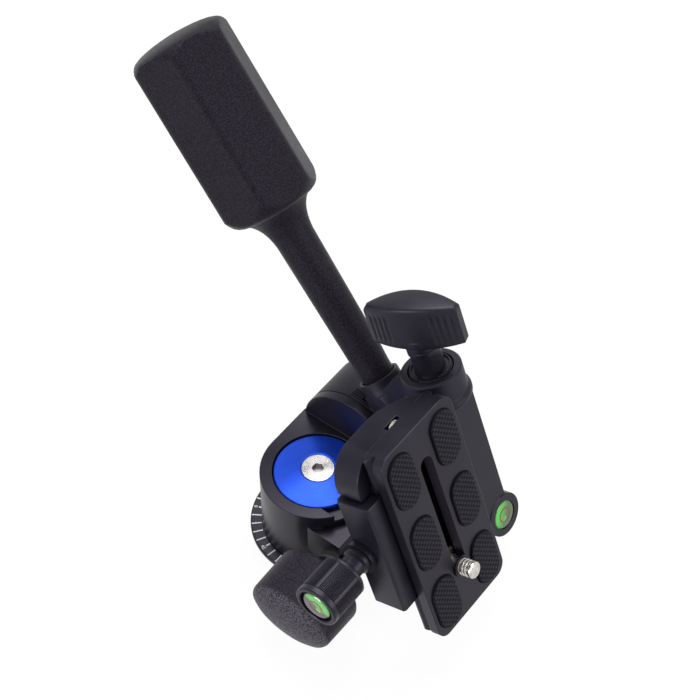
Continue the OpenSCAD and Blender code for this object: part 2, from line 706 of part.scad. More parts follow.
module release_plate() {
  color("#1c1d20") in_tilt() translate([clamp_x, 0, 0]) difference() {
    union() {
      translate([0, plate_u, plate_top - 4.2]) linear_extrude(4.2) plate_outline();
      intersection() {
        translate([0, plate_u, plate_low - 1]) linear_extrude(plate_t) plate_outline();
        translate([0, plate_u + plate_len / 2 + 1, 0]) rotate([90, 0, 0])
          linear_extrude(plate_len + 2) polygon([
            [-dove_w / 2, plate_low], [dove_w / 2, plate_low], [dove_w / 2, plate_low + 1],
            [dove_in, plate_low + 3.8], [dove_in, plate_top - 4], [-dove_in, plate_top - 4],
            [-dove_in, plate_low + 3.8], [-dove_w / 2, plate_low + 1]
          ]);
      }
    }
    for (s = [-1, 1], i = [-1, 0, 1])
      translate([s * pad_row, plate_u + 0.5 + i * pad_pitch, plate_top - 1.2])
        linear_extrude(3) pad_outline(0.05);
    translate([0, 0, plate_low - 1]) linear_extrude(plate_t + 2) slot_outline(neck_r + fit, -slot_u, cam_u);
    translate([0, 0, plate_low - 1]) linear_extrude(5) slot_outline(6.4, -slot_u, cam_u);
    for (s = [-1, 1]) translate([0, plate_u + s * (plate_len / 2 - stop_in), plate_low - 1])
      cylinder(r = 1.5 + fit, h = 5.2);
  }
}

// Stop screw under one end of the plate
module stop_screw(u) {
  color("#c9cacc") in_tilt() translate([clamp_x, u, 0]) difference() {
    rotate_extrude() polygon([
      [0, plate_low - 2], [stop_r - 0.6, plate_low - 2], [stop_r, plate_low - 1.4], [stop_r, plate_low],
      [1.5, plate_low], [1.5, plate_low + 4], [0, plate_low + 4]
    ]);
    translate([0, 0, plate_low - 3]) cylinder(r = 1.2, h = 2.2, $fn = 6);
  }
}

module stop_rear() {
  stop_screw(plate_u - plate_len / 2 + stop_in);
}

module stop_front() {
  stop_screw(plate_u + plate_len / 2 - stop_in);
}

// One pad in its pocket, side and row as steps from the plate centre
module pad(side, row) {
  color("#2a2b2d") in_tilt()
    translate([clamp_x + side * pad_row, plate_u + 0.5 + row * pad_pitch, plate_top - 1.2])
      linear_extrude(1.2 + pad_proud) pad_outline(0);
}

module pad_right_rear() {
  pad(1, -1);
}

module pad_right_mid() {
  pad(1, 0);
}

module pad_right_front() {
  pad(1, 1);
}

module pad_left_rear() {
  pad(-1, -1);
}

module pad_left_mid() {
  pad(-1, 0);
}

module pad_left_front() {
  pad(-1, 1);
}

module camera_screw() {
  color("#c9cacc") in_tilt() translate([clamp_x, cam_u, 0]) difference() {
    rotate_extrude() polygon([
      [0, plate_low + 0.3], [6, plate_low + 0.3], [6, plate_low + 3.6], [neck_r, plate_low + 3.6],
      [neck_r, plate_top + 0.8], [cam_r, plate_top + 0.8], [cam_r, plate_top + cam_proud - 0.5],
      [cam_r - 0.5, plate_top + cam_proud], [0, plate_top + cam_proud]
    ]);
    translate([-7, -0.7, plate_low - 1]) cube([14, 1.4, 2.6]);
  }
}

module screw_clip() {
  color("#26272a") in_tilt() translate([clamp_x, cam_u, 0])
    ring(neck_r + fit, 4.2, plate_top + rub, plate_top + 0.8);
}

base_disc();
thread_bush();
pan_spigot();
slip_ring();
blue_cap();
cap_screw();
cap_washer();
pan_housing();
tilt_axle();
friction_disc();
axle_cap();
axle_screw();
pan_knob();
pan_stud();
pan_washer();
tilt_drum();
handle_grip();
handle_rod();
clamp_table();
flip_axle();
table_vial();
wing_knob();
wing_washer();
clamp_jaw();
guide_pin_rear();
guide_pin_front();
clamp_knob();
clamp_screw();
clamp_washer();
knob_vial();
release_plate();
stop_rear();
stop_front();
pad_right_rear();
pad_right_mid();
pad_right_front();
pad_left_rear();
pad_left_mid();
pad_left_front();
camera_screw();
screw_clip();
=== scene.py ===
import json
import math
import bpy
import bmesh
from mathutils import Matrix, Vector


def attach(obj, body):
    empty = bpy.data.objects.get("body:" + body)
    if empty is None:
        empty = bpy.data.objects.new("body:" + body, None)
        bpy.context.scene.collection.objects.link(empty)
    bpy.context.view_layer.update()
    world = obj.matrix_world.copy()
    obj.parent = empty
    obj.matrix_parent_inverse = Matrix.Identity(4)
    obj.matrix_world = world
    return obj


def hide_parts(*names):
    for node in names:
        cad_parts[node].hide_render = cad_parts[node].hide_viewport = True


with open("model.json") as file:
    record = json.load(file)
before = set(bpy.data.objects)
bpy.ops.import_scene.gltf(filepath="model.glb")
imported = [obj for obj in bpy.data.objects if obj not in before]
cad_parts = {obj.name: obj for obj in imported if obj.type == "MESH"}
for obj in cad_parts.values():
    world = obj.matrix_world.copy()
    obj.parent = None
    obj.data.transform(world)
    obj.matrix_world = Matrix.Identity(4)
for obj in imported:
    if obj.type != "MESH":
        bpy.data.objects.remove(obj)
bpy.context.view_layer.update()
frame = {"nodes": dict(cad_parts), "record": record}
cadNodes = frame["nodes"]
print("frame loaded:", len(cadNodes), "nodes")

mm = 0.001

# the working frames of the head, in mm and degrees, as in its solids
headPlan = {"tiltAxis": (0, 0, 38), "forward": 70, "flipAxis": (-31.5, 0, 41.7), "clampAxis": (0, 0, 42.6),
            "handleFoot": (-31.3, -26.4, 13.7), "handleLean": 114.2, "handleSplay": -4.8,
            "tableLevel": (-36.6, 36.4, 0), "cameraScrew": (-1, 25.3, 0)}


def shiftTo(key):
    return Matrix.Translation([part * mm for part in headPlan[key]])


def turnAbout(axis, degrees):
    return Matrix.Rotation(math.radians(degrees), 4, axis)


tiltFrame = shiftTo("tiltAxis") @ turnAbout("X", -headPlan["forward"])
flipFrame = tiltFrame @ shiftTo("flipAxis") @ turnAbout("X", 90)
handleFrame = (tiltFrame @ shiftTo("handleFoot") @ turnAbout("X", headPlan["handleLean"])
               @ turnAbout("Y", headPlan["handleSplay"]))
alongX = turnAbout("Y", 90)  # turns local Z onto +X
clampPlace = tiltFrame @ shiftTo("clampAxis") @ alongX
tableLevelPlace = tiltFrame @ shiftTo("tableLevel")


# materials: small helpers that wire nodes on Object coordinates
blackTint = (0.87, 0.81, 1.0)  # the photo's blacks lean to violet


def startFinish(name, color, metallic, roughness, specular=0.5, tint=(1, 1, 1)):
    material = bpy.data.materials.new(name)
    material.use_nodes = True
    tree = material.node_tree
    shader = tree.nodes["Principled BSDF"]
    shader.inputs["Base Color"].default_value = (*color, 1)
    shader.inputs["Metallic"].default_value = metallic
    shader.inputs["Roughness"].default_value = roughness
    shader.inputs["Specular IOR Level"].default_value = specular
    shader.inputs["Specular Tint"].default_value = (*tint, 1)
    return material, tree, shader


def addNode(tree, kind, **sockets):
    node = tree.nodes.new(kind)
    for key, value in sockets.items():
        node.inputs[key].default_value = value
    return node


def feed(tree, socket, value):
    # links an output to the socket, or sets the socket to a plain value
    if isinstance(value, bpy.types.NodeSocket):
        tree.links.new(value, socket)
    else:
        socket.default_value = value


def mathNode(tree, operation, *values):
    node = tree.nodes.new("ShaderNodeMath")
    node.operation = operation
    for socket, value in zip(node.inputs, values):
        feed(tree, socket, value)
    return node.outputs["Value"]


def blendColor(tree, share, first, second):
    blend = tree.nodes.new("ShaderNodeMix")
    blend.data_type = "RGBA"
    for index, value in ((0, share), (6, first), (7, second)):  # the factor and both colours
        feed(tree, blend.inputs[index], value)
    return blend.outputs[2]


def objectPlace(tree, frameMatrix=Matrix.Identity(4)):
    place = tree.nodes.new("ShaderNodeTexCoord")
    mapping = tree.nodes.new("ShaderNodeMapping")
    mapping.vector_type = "TEXTURE"
    mapping.inputs["Rotation"].default_value = frameMatrix.to_euler()
    mapping.inputs["Location"].default_value = frameMatrix.translation
    tree.links.new(place.outputs["Object"], mapping.inputs["Vector"])
    return mapping.outputs["Vector"]


def axesOf(tree, vector):
    split = tree.nodes.new("ShaderNodeSeparateXYZ")
    tree.links.new(vector, split.inputs["Vector"])
    return split.outputs


def noiseOn(tree, vector, scale, detail=3.0, rough=0.55):
    noise = addNode(tree, "ShaderNodeTexNoise", Scale=scale, Detail=detail, Roughness=rough)
    tree.links.new(vector, noise.inputs["Vector"])
    return noise.outputs["Fac"]


def spread(tree, value, low, high, fromLow=0.3, fromHigh=0.7):
    ranged = tree.nodes.new("ShaderNodeMapRange")
    ranged.inputs["From Min"].default_value = fromLow
    ranged.inputs["From Max"].default_value = fromHigh
    ranged.inputs["To Min"].default_value = low
    ranged.inputs["To Max"].default_value = high
    tree.links.new(value, ranged.inputs["Value"])
    return ranged.outputs["Result"]


def twoTone(tree, value, dark, light, fromLow=0.3, fromHigh=0.7):
    ramp = tree.nodes.new("ShaderNodeValToRGB")
    ramp.color_ramp.elements[0].position = fromLow
    ramp.color_ramp.elements[0].color = (*dark, 1)
    ramp.color_ramp.elements[1].position = fromHigh
    ramp.color_ramp.elements[1].color = (*light, 1)
    tree.links.new(value, ramp.inputs["Fac"])
    return ramp.outputs["Color"]


def bumpFrom(tree, shader, height, strength, distance, edge=0.0):
    bump = addNode(tree, "ShaderNodeBump", Strength=strength, Distance=distance * mm)
    tree.links.new(height, bump.inputs["Height"])
    if edge > 0:  # softens the sharp machined edges
        soft = addNode(tree, "ShaderNodeBevel", Radius=edge * mm)
        soft.samples = 6
        tree.links.new(soft.outputs["Normal"], bump.inputs["Normal"])
    tree.links.new(bump.outputs["Normal"], shader.inputs["Normal"])


# satin black: "bump" is strength and depth in mm, "edge" the softening in mm
anodised = {"dark": (0.0052, 0.0045, 0.0078), "light": (0.009, 0.008, 0.0135), "rough": (0.3, 0.38),
            "cast": (0.44, 0.52), "specular": 0.23, "grain": 2600, "cloud": 60, "cloudDetail": 4,
            "bump": (0.12, 0.02), "edge": 0.12}
knobPlastic = {"dark": (0.0052, 0.0046, 0.0076), "light": (0.009, 0.008, 0.013), "rough": (0.36, 0.46),
               "specular": 0.24, "grain": 3200, "cloud": 80, "cloudDetail": 3,
               "bump": (0.15, 0.03), "edge": 0.5}
# painted light: the walls of the plate's slot, a box in mm in the tilted frame, are painted paler than the
# face, standing in for light that reaches into the slot
slotPaintedLight = {"color": (0.055, 0.047, 0.066), "centre": (-1, -5, 54), "half": (6.6, 25, 4.2)}


# box mask of the slot walls, where the painted light goes
def slotMask(tree):
    axes = axesOf(tree, objectPlace(tree, tiltFrame))
    across, along, deep = [mathNode(tree, "COMPARE", axes[axis], centre * mm, half * mm)
                           for axis, centre, half in zip("XYZ", slotPaintedLight["centre"], slotPaintedLight["half"])]
    return mathNode(tree, "MULTIPLY", mathNode(tree, "MULTIPLY", across, along), deep)


def makeSatin(name, look, rough, paintSlotLight=False):
    material, tree, shader = startFinish(name, look["dark"], 0.0, rough[0], look["specular"], blackTint)
    place = objectPlace(tree)
    cloud = noiseOn(tree, place, look["cloud"], look["cloudDetail"])
    grain = noiseOn(tree, place, look["grain"], 2)
    color = twoTone(tree, cloud, look["dark"], look["light"])
    if paintSlotLight:
        # painted light: the slot walls take a paler colour than the rest of the face
        color = blendColor(tree, slotMask(tree), color, (*slotPaintedLight["color"], 1))
    tree.links.new(color, shader.inputs["Base Color"])
    tree.links.new(spread(tree, cloud, *rough), shader.inputs["Roughness"])
    bumpFrom(tree, shader, grain, *look["bump"], look["edge"])
    return material


# grained plastic; the end zone, in mm along X, is the end face of the pan knob, where painted sheen makes the
# grain paler
gripGrain = {"dark": (0.0026, 0.0022, 0.0036), "light": (0.0155, 0.0132, 0.0195), "tones": (0.4, 0.64),
             "endLight": (0.0155, 0.0142, 0.0175), "endTones": (0.38, 0.62), "endZone": (44.7, 46.2),
             "rough": (0.44, 0.56), "grain": 1900, "cloud": 45, "sheen": 0.08, "sheenRough": 0.4,
             "bump": (0.8, 0.2)}


def makeGripPlastic(name, specular, lift, paintedSheenLift=None):
    look = gripGrain
    material, tree, shader = startFinish(name, look["dark"], 0.0, look["rough"][1], specular, blackTint)
    place = objectPlace(tree)
    grain = noiseOn(tree, place, look["grain"], 3, 0.6)
    cloud = noiseOn(tree, place, look["cloud"], 3)
    light = [lift * part for part in look["light"]]
    color = twoTone(tree, grain, look["dark"], light, *look["tones"])
    if paintedSheenLift:  # painted sheen: the end beyond the crease is painted paler, standing in for the light it catches
        light = [paintedSheenLift * part for part in look["endLight"]]
        zone = [edge * mm for edge in look["endZone"]]
        color = blendColor(tree, spread(tree, axesOf(tree, place)["X"], 0, 1, *zone), color,
                           twoTone(tree, grain, look["dark"], light, *look["endTones"]))
    tree.links.new(color, shader.inputs["Base Color"])
    tree.links.new(spread(tree, cloud, *look["rough"]), shader.inputs["Roughness"])
    shader.inputs["Sheen Weight"].default_value = look["sheen"]  # pale rim at glancing angles
    shader.inputs["Sheen Roughness"].default_value = look["sheenRough"]
    bumpFrom(tree, shader, grain, *look["bump"])
    return material


# turned metal: "rings" is the number of fine grooves in a metre of radius
blueFinish = {"dark": (0.005, 0.028, 0.3), "light": (0.0095, 0.06, 0.53), "tones": (0.1, 0.6),
              "rough": (0.3, 0.36), "metallic": 0.5, "specular": 0.2, "cloud": 90, "cloudDetail": 3,
              "rings": 2600, "bump": (0.05, 0.004), "edge": 0.3}
steelFinish = {"dark": (0.33, 0.315, 0.315), "light": (0.43, 0.415, 0.41), "tones": (0.3, 0.7),
               "rough": (0.24, 0.32), "metallic": 1.0, "specular": 0.5, "cloud": 220, "cloudDetail": 2,
               "rings": 1500, "bump": (0.3, 0.02), "edge": 0.2}


def turnedRings(tree, vector, ringsPerMetre):
    # distance from local Z, as a fine sine
    axes = axesOf(tree, vector)
    flat = tree.nodes.new("ShaderNodeCombineXYZ")
    tree.links.new(axes["X"], flat.inputs["X"])
    tree.links.new(axes["Y"], flat.inputs["Y"])
    length = tree.nodes.new("ShaderNodeVectorMath")
    length.operation = "LENGTH"
    tree.links.new(flat.outputs["Vector"], length.inputs[0])
    phase = mathNode(tree, "MULTIPLY", length.outputs["Value"], ringsPerMetre * 2 * math.pi)
    return mathNode(tree, "SINE", phase)


def makeTurned(name, look):
    material, tree, shader = startFinish(name, look["light"], look["metallic"], look["rough"][0],
                                         look["specular"])
    place = objectPlace(tree)
    cloud = noiseOn(tree, place, look["cloud"], look["cloudDetail"])
    tree.links.new(twoTone(tree, cloud, look["dark"], look["light"], *look["tones"]),
                   shader.inputs["Base Color"])
    tree.links.new(spread(tree, cloud, *look["rough"]), shader.inputs["Roughness"])
    bumpFrom(tree, shader, turnedRings(tree, place, look["rings"]), *look["bump"], look["edge"])
    return material


# pads: the weave covers the face above "faceTop"; the round rim below "rimTop" is smooth and carries painted
# shade, darker like the shadow of a crease at the pad's edge
weave = {"dark": (0.002, 0.0018, 0.0026), "light": (0.022, 0.0205, 0.027), "tones": (0.18, 0.87),
         "cells": 860, "rimTop": 59.3, "faceTop": 59.42, "rimDark": -0.26, "contrast": 0.6, "noise": 900,
         "rough": (0.6, 0.8), "specular": 0.1, "bump": (0.6, 0.15), "edge": 0.3}


def makePadRubber():
    material, tree, shader = startFinish("wovenPadRubber", weave["dark"], 0.0, weave["rough"][0],
                                         weave["specular"], blackTint)
    place = objectPlace(tree, tiltFrame)
    axes = axesOf(tree, place)
    waves = [mathNode(tree, "SINE", mathNode(tree, "MULTIPLY", axes[axis], weave["cells"] * math.pi))
             for axis in "XY"]
    rise = weave["rimTop"] * mm, weave["faceTop"] * mm
    onFace = spread(tree, axes["Z"], 0, 1, *rise)
    face = mathNode(tree, "MULTIPLY", mathNode(tree, "MULTIPLY", *waves), onFace)
    noise = noiseOn(tree, place, weave["noise"], 3)
    # painted shade: the rim below the woven face is made darker
    deep = mathNode(tree, "ADD", noise, spread(tree, axes["Z"], weave["rimDark"], 0, *rise))
    mix = mathNode(tree, "MULTIPLY_ADD", face, weave["contrast"], deep)
    tree.links.new(twoTone(tree, mix, weave["dark"], weave["light"], *weave["tones"]),
                   shader.inputs["Base Color"])
    tree.links.new(spread(tree, noise, *weave["rough"]), shader.inputs["Roughness"])
    bumpFrom(tree, shader, mix, *weave["bump"], weave["edge"])
    return material


plainLooks = {
    "bareSteel": {"dark": (0.47, 0.45, 0.43), "light": (0.65, 0.62, 0.59), "rough": (0.25, 0.4), "scale": 700,
                  "metallic": 1.0},
    "slipPlastic": {"dark": (0.6, 0.58, 0.5), "light": (0.72, 0.7, 0.63), "rough": (0.4, 0.55), "scale": 300},
    "discBrass": {"dark": (0.42, 0.3, 0.1), "light": (0.55, 0.4, 0.16), "rough": (0.3, 0.45), "scale": 400,
                  "metallic": 1.0},
    "vialFluid": {"dark": (0.014, 0.15, 0.012), "light": (0.045, 0.32, 0.03), "rough": (0.06, 0.12),
                  "scale": 420, "specular": 0.4, "coat": 0.2},
    "vialBubble": {"dark": (0.05, 0.27, 0.04), "light": (0.11, 0.36, 0.08), "rough": (0.05, 0.1),
                   "scale": 300, "coat": 0.3},
    "vialRedRing": {"dark": (0.15, 0.014, 0.005), "light": (0.24, 0.025, 0.01), "rough": (0.2, 0.3),
                    "scale": 500},
    "dialWhite": {"dark": (0.72, 0.72, 0.71), "light": (0.82, 0.82, 0.81), "rough": (0.45, 0.6),
                  "scale": 900},
}


def makePlain(name, dark, light, rough, scale, specular=0.5, metallic=0.0, coat=0.0):
    material, tree, shader = startFinish(name, dark, metallic, rough[0], specular)
    shader.inputs["Coat Weight"].default_value = coat
    cloud = noiseOn(tree, objectPlace(tree), scale, 3)
    tree.links.new(twoTone(tree, cloud, dark, light), shader.inputs["Base Color"])
    tree.links.new(spread(tree, cloud, *rough), shader.inputs["Roughness"])
    return material


# level windows: painted light and reflection: clear green painted on the side towards the light, and a grey
# painted reflection of the surroundings on the other
windowLook = {
    "knobLevel": {"dull": (0.035, 0.032, 0.037), "bright": (0.1, 0.36, 0.07), "toward": (-0.678, -0.735),
                  "ease": (0.5, 0.68)},
    "tableLevel": {"dull": (0.055, 0.1, 0.04), "bright": (0.07, 0.46, 0.045), "toward": (0.778, -0.629),
                   "ease": (0.42, 0.8)},
    "reach": 5.6, "coat": 0.25, "rough": (0.05, 0.1), "noise": 200,
}


def makeWindow(name, place):
    look, reach = windowLook[name], windowLook["reach"] * mm
    material, tree, shader = startFinish(name + "Window", look["dull"], 0.0, windowLook["rough"][1])
    shader.inputs["Coat Weight"].default_value = windowLook["coat"]
    local = objectPlace(tree, place)
    along = tree.nodes.new("ShaderNodeVectorMath")
    along.operation = "DOT_PRODUCT"
    along.inputs[1].default_value = (*look["toward"], 0)
    tree.links.new(local, along.inputs[0])
    # painted light and reflection: the colour runs across the window from the grey reflection to the lit
    # green
    share = spread(tree, along.outputs["Value"], 0, 1, -reach, reach)
    tree.links.new(twoTone(tree, share, look["dull"], look["bright"], *look["ease"]),
                   shader.inputs["Base Color"])
    tree.links.new(spread(tree, noiseOn(tree, local, windowLook["noise"]), *windowLook["rough"]),
                   shader.inputs["Roughness"])
    return material


satinBlack = makeSatin("satinBlackMetal", anodised, anodised["rough"])
castBlack = makeSatin("castBlackMetal", anodised, anodised["cast"])
# the plate's finish, with painted light on its slot walls
plateBlack = makeSatin("plateBlackMetal", anodised, anodised["rough"], True)
satinKnob = makeSatin("satinKnobPlastic", knobPlastic, knobPlastic["rough"])
grained = makeGripPlastic("grainedPlastic", specular=0.1, lift=1.0)
# the pan knob's end face gets painted sheen, paler than its flank
grainedKnob = makeGripPlastic("grainedKnobPlastic", specular=0.12, lift=1.6, paintedSheenLift=5.0)
blueMetal = makeTurned("blueAnodisedCap", blueFinish)
steelUp = makeTurned("turnedSteelUpright", steelFinish)
padRubber = makePadRubber()
plain = {name: makePlain(name, **look) for name, look in plainLooks.items()}
print("finishes made:", len(bpy.data.materials))

slotFinish = {
    "black_metal": satinBlack, "blue_metal": blueMetal, "bright_steel": plain["bareSteel"],
    "grip_plastic": grained, "knob_plastic": satinKnob, "pad_rubber": padRubber,
    "slip_plastic": plain["slipPlastic"], "disc_brass": plain["discBrass"], "vial_green": plain["vialFluid"],
}
nodeFinish = {"cap_screw": steelUp}
for part in frame["record"]["subparts"]:
    node = cadNodes[part["node"]]
    node.data.materials.clear()
    node.data.materials.append(nodeFinish.get(part["node"], slotFinish[part["material_slot"]]))

# mesh helpers; the gaps are in mm and the angle in degrees
meshCare = {"pieceGap": 0.002, "copyGap": 0.001, "flatAngle": 0.6}


def closePiece(bm, name, body, finish, stands=(), smooth=35, place=None):
    if place is not None:
        bmesh.ops.transform(bm, matrix=place, verts=bm.verts)
    bmesh.ops.remove_doubles(bm, verts=bm.verts, dist=meshCare["pieceGap"] * mm)
    bmesh.ops.recalc_face_normals(bm, faces=bm.faces)
    mesh = bpy.data.meshes.new(name)
    for face in bm.faces:
        face.smooth = True
    for edge in bm.edges:
        edge.smooth = len(edge.link_faces) == 2 and edge.calc_face_angle(0) < math.radians(smooth)
    bm.to_mesh(mesh)
    bm.free()
    piece = bpy.data.objects.new(name, mesh)
    bpy.context.scene.collection.objects.link(piece)
    mesh.materials.append(finish)
    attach(piece, body)
    if stands:
        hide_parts(*stands)
    return piece


def turnProfile(bm, points, steps=96):
    # spins a half outline, radius and height in mm, about local Z
    verts = [bm.verts.new((r * mm, 0, z * mm)) for r, z in points]
    edges = [bm.edges.new(pair) for pair in zip(verts, verts[1:])]
    bmesh.ops.spin(bm, geom=verts + edges, cent=(0, 0, 0), axis=(0, 0, 1), dvec=(0, 0, 0),
                   angle=2 * math.pi, steps=steps, use_merge=True, use_duplicate=False)
    bmesh.ops.remove_doubles(bm, verts=bm.verts, dist=meshCare["pieceGap"] * mm)


def turnVerts(bm, verts, axis, degrees):
    bmesh.ops.rotate(bm, verts=verts, cent=(0, 0, 0), matrix=Matrix.Rotation(math.radians(degrees), 3, axis))


def addShell(bm, other):
    # puts the shape of another bmesh into this one
    mesh = bpy.data.meshes.new("shell")
    other.to_mesh(mesh)
    other.free()
    bm.from_mesh(mesh)
    bpy.data.meshes.remove(mesh)


def growCap(bm, cap):
    # raises a cap and drops the one below it; the very first stays as the floor
    rims = list({edge for face in cap for edge in face.edges})
    made = bmesh.ops.extrude_face_region(bm, geom=cap + rims)["geom"]
    return ([item for item in made if isinstance(item, bmesh.types.BMFace)],
            [item for item in made if isinstance(item, bmesh.types.BMVert)])


def rimEdges(bm, verts):
    chosen = set(verts)
    return [edge for edge in bm.edges if all(v in chosen for v in edge.verts)]


def roundEdges(bm, edges, width, segments):
    bmesh.ops.bevel(bm, geom=edges, offset=width * mm, offset_type="OFFSET", segments=segments, profile=0.5,
                    affect="EDGES", material=-1, clamp_overlap=False)


def easedCopy(nodeName, minAngle, width, segments):
    # a copy of a solid whose edges sharper than minAngle are rounded
    bm = bmesh.new()
    bm.from_mesh(cadNodes[nodeName].data)
    bmesh.ops.remove_doubles(bm, verts=bm.verts, dist=meshCare["copyGap"] * mm)
    bmesh.ops.dissolve_limit(bm, angle_limit=math.radians(meshCare["flatAngle"]), verts=bm.verts[:],
                             edges=bm.edges[:], use_dissolve_boundaries=False, delimit=set())
    sharp = [e for e in bm.edges if len(e.link_faces) == 2 and e.calc_face_angle(0) > math.radians(minAngle)]
    roundEdges(bm, sharp, width, segments)
    return bm


# handle: spun shaft with its flare, and the six sided grip with its domed end
handleShape = {
    "shaft": [(0, -1.2), (5.3, -1.2), (6.3, 0.4), (6.3, 4), (6.6, 9), (7.38, 59), (7.7, 61.6), (8.2, 63.9),
              (8.95, 66.1), (9.9, 68), (11.2, 69.8), (12.8, 71.3), (13.9, 72.3), (13.9, 75), (0, 75)],
    "corner": 14.65, "round": 4.7, "turn": 43,
    "limit": [(13.4, 71.5), (15, 71.8), (16.2, 72.4), (17.1, 73.2), (17.9, 74.4), (18.6, 75.6), (19.3, 76.8),
              (19.9, 78), (19.9, 134.4), (19.4, 135.8), (18.9, 136.8), (18.3, 137.7), (17.5, 138.7),
              (16.6, 139.4), (15.5, 139.9), (13.8, 140.5), (11.5, 141.0), (9, 141.4), (6, 141.7), (3, 141.92),
              (1, 141.98)],
}


def hexReach(angle):
    # radius of the rounded hexagon, in mm, at an angle from one of its corners
    corner, bend = handleShape["corner"], handleShape["round"]
    off = abs((angle + math.pi / 6) % (math.pi / 3) - math.pi / 6)
    if off < math.atan2(bend / 2, corner + bend * math.cos(math.pi / 6)):
        return corner * math.cos(off) + math.sqrt(bend * bend - (corner * math.sin(off)) ** 2)
    return (corner * math.cos(math.pi / 6) + bend) / math.cos(math.pi / 6 - off)


def makeHandle():
    bm = bmesh.new()
    turnProfile(bm, handleShape["shaft"])
    grip = bmesh.new()
    ring = bmesh.ops.create_circle(grip, cap_ends=True, segments=240, radius=1.0)["verts"]
    cap = grip.faces[:]
    for step, (limit, height) in enumerate(handleShape["limit"]):
        if step:
            cap, ring = growCap(grip, cap)
        for v in ring:
            angle = math.atan2(v.co.y, v.co.x)
            reach = min(limit, hexReach(angle - math.radians(handleShape["turn"])))
            v.co = Vector((reach * math.cos(angle), reach * math.sin(angle), height)) * mm
    addShell(bm, grip)
    return closePiece(bm, "handleGrip", "handle", grained, ("handle_grip",), 40, handleFrame)


makeHandle()
print("handle made")

# pan lock knob: round foot that runs into an oval, domed end
panKnobShape = {"centre": (0, 22.3, 19.5), "start": 27.5, "flank": 18.1, "foot": 17.0, "half": 17.2,
                "thick": 12.0, "turn": 2, "crease": 1.1, "footRound": 1.6,
                "dome": [(0.95, 19), (0.82, 20.1), (0.62, 21), (0.36, 21.6), (0.12, 21.85)],
                "neck": [(3.05, 21.1), (7, 21.1), (7, 28.5), (3.05, 28.5)]}


def makePanKnob():
    shape = panKnobShape
    bm = bmesh.new()
    foot = bmesh.ops.create_circle(bm, cap_ends=True, segments=96, radius=shape["foot"] * mm)["verts"]
    bmesh.ops.translate(bm, verts=foot, vec=(0, 0, shape["start"] * mm))
    cap, rings, share = bm.faces[:], [], 1.0
    # local X becomes -Z of the head, local Y stays Y
    oval = Vector((shape["thick"] / shape["foot"], shape["half"] / shape["foot"], 1))
    for size, height in [(1.0, shape["flank"])] + shape["dome"]:
        cap, ring = growCap(bm, cap)
        vec = (size / share * (1 if rings else oval.x), size / share * (1 if rings else oval.y), 1)
        bmesh.ops.scale(bm, verts=ring, vec=vec)
        for v in ring:
            v.co.z = (shape["start"] + height) * mm
        rings.append(ring)
        share = size
    bmesh.ops.recalc_face_normals(bm, faces=bm.faces)
    bm.normal_update()
    roundEdges(bm, rimEdges(bm, rings[0]), shape["crease"], 4)
    roundEdges(bm, rimEdges(bm, foot), shape["footRound"], 4)
    neck = bmesh.new()
    turnProfile(neck, shape["neck"] + shape["neck"][:1], 64)
    addShell(bm, neck)
    place = Matrix.Translation(Vector(shape["centre"]) * mm) @ turnAbout("X", -shape["turn"]) @ alongX
    return closePiece(bm, "panKnob", "pan_lock", grainedKnob, ("pan_knob",), 30, place)


makePanKnob()
print("pan knob made")

# metal castings: a copy of each solid with its sharp edges eased by a width in mm
easing = {
    "pan_housing": ("panHousing", "pan", 0.25, satinBlack),
    "tilt_drum": ("tiltDrum", "tilt", 0.2, castBlack),
    "clamp_table": ("clampTable", "table", 0.25, satinBlack),
    "clamp_jaw": ("clampJaw", "jaw", 0.3, satinBlack),
    "release_plate": ("releasePlate", "plate", 0.25, plateBlack),
    "base_disc": ("baseDisc", "base", 0.2, satinBlack),
    "axle_cap": ("axleCap", "pan", 0.3, satinBlack),
}
for nodeName, (name, body, width, finish) in easing.items():
    closePiece(easedCopy(nodeName, 28, width, 2), name, body, finish, (nodeName,), 20)
print("castings eased")

# rubber pads with soft rims, eased like the castings
padNodes = [part["node"] for part in frame["record"]["subparts"] if part["material_slot"] == "pad_rubber"]
padShape = {"minAngle": 60, "width": 0.75, "segments": 4}
for nodeName in padNodes:
    first, *words = nodeName.split("_")
    name = first + "".join(word.capitalize() for word in words)
    closePiece(easedCopy(nodeName, **padShape), name, "plate", padRubber, (nodeName,), 40)
print("pads eased:", len(padNodes))

# wing knob: lens shaped bar with finger flutes, on a stepped hub with a seat in the collar
wingShape = {"base": 51.0, "height": 18.0, "half": 17.3, "mid": 12.0, "tip": 3.6, "turn": 18, "rimRound": 1.3,
             "flutes": 4, "fluteIn": 2.6, "fluteStep": 2.1, "fluteHalf": 0.7, "fluteDepth": 0.38,
             "fluteRun": (2.2, 14.2), "fluteFade": 1.0, "endFlat": 1.05,
             "crown": 2.6, "crownFrom": 8, "crownRise": 9, "cuts": 7, "cutStep": 2.2,
             "hub": [(4.05, 36.5), (5.6, 36.5), (5.6, 36.7), (7.95, 36.7), (7.95, 38), (7.75, 38.2),
                     (5.6, 38.2), (5.6, 46.2), (6.1, 47), (6.1, 48.9), (5.75, 49), (5.75, 49.25),
                     (6.1, 49.35), (6.1, 54), (4.05, 54)]}


def limitTo(value, low, high):
    return max(low, min(high, value))


def lensSide(y, depth):
    # half thickness of the bar at distance y from its middle, in mm
    shape = wingShape
    half, mid, tip = shape["half"], shape["mid"], shape["tip"]
    reach = (half * half + tip * tip / 4 - mid * mid / 4) / (mid - tip)
    side = math.sqrt((reach + mid / 2) ** 2 - y * y) - reach
    for i in range(shape["flutes"]):
        gap = (abs(y) - (half - shape["fluteIn"] - shape["fluteStep"] * i)) / shape["fluteHalf"]
        side -= depth * max(0.0, 1 - gap * gap)
    return side


